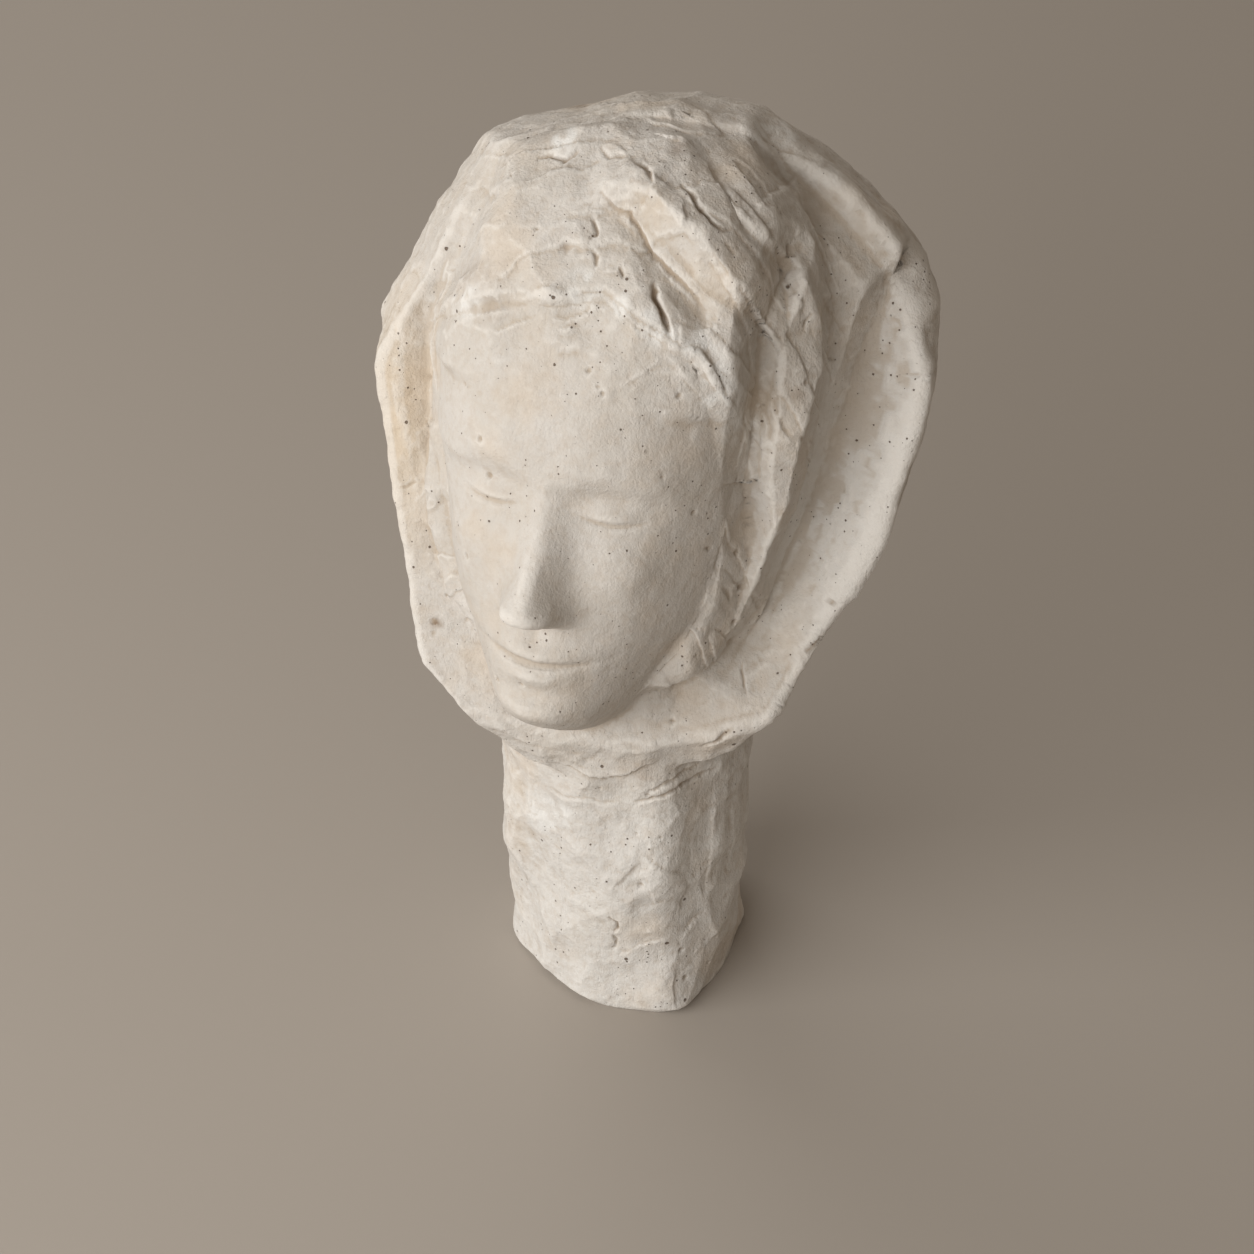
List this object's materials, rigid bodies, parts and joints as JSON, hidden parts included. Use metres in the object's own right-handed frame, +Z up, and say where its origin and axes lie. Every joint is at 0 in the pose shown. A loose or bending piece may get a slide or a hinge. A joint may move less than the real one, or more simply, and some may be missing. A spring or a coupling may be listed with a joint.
{
  "type": "plaster head sculpture",
  "caption": "Solid plaster sculpture of a calm hooded head on its own thick rough-hewn neck, standing on a flat underside.",
  "frame": {"origin": "middle of the flat underside, on the surface the head stands on", "axes": "+Z up the neck, -Y out of the open front of the hood, +X to the right of a viewer facing it"},
  "size_m": [0.212, 0.1967, 0.3816],
  "materials": {
    "plaster": "matt, unpainted off-white plaster"
  },
  "bodies": {
    "root": {"plaster_head": "plaster"}
  },
  "joints": []
}
